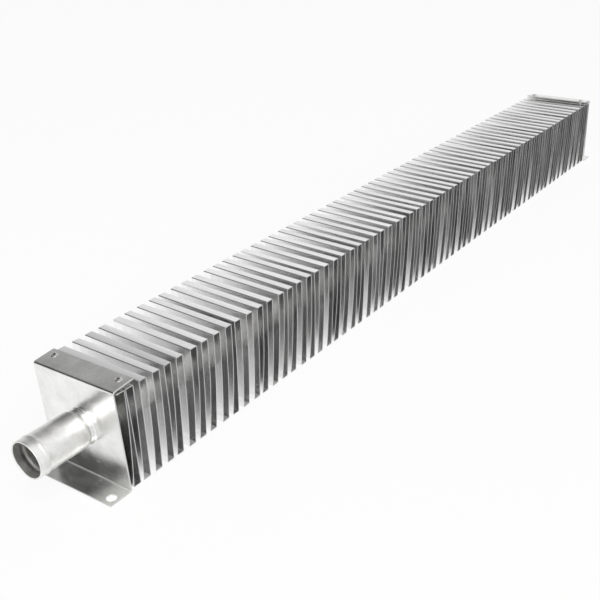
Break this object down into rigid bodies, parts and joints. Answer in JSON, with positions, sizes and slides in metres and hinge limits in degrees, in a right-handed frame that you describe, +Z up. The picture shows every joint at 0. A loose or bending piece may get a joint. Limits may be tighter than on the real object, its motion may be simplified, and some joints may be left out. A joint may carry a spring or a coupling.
{
  "type": "finned-tube convector element",
  "caption": "Finned-tube convector element: a water tube with beaded hose spigots, carrying concertina-folded aluminium fins between bent sheet end brackets with screw holes in their feet.",
  "frame": {"origin": "on the floor under the middle of the tube: the feet stand on z = 0", "axes": "+X along the tube from the inlet to the outlet, +Y across the fins, +Z up"},
  "size_m": [0.802, 0.0708, 0.072],
  "materials": {
    "drawn_tube": "satin, drawn",
    "bracket_sheet": "mill finish, fine rolling grain",
    "rivet_metal": "satin",
    "fin_sheet": "mill finish, fine rolling grain"
  },
  "bodies": {
    "root": {"core_tube": "drawn_tube", "inlet_end_bracket": "bracket_sheet", "inlet_flange_rivets": "rivet_metal", "outlet_end_bracket": "bracket_sheet", "outlet_flange_rivets": "rivet_metal", "fin_strip_01": "fin_sheet", "fin_strip_02": "fin_sheet", "fin_strip_03": "fin_sheet", "fin_strip_04": "fin_sheet", "fin_strip_05": "fin_sheet", "fin_strip_06": "fin_sheet", "fin_strip_07": "fin_sheet", "fin_strip_08": "fin_sheet", "fin_strip_09": "fin_sheet", "fin_strip_10": "fin_sheet", "fin_strip_11": "fin_sheet"}
  },
  "joints": []
}
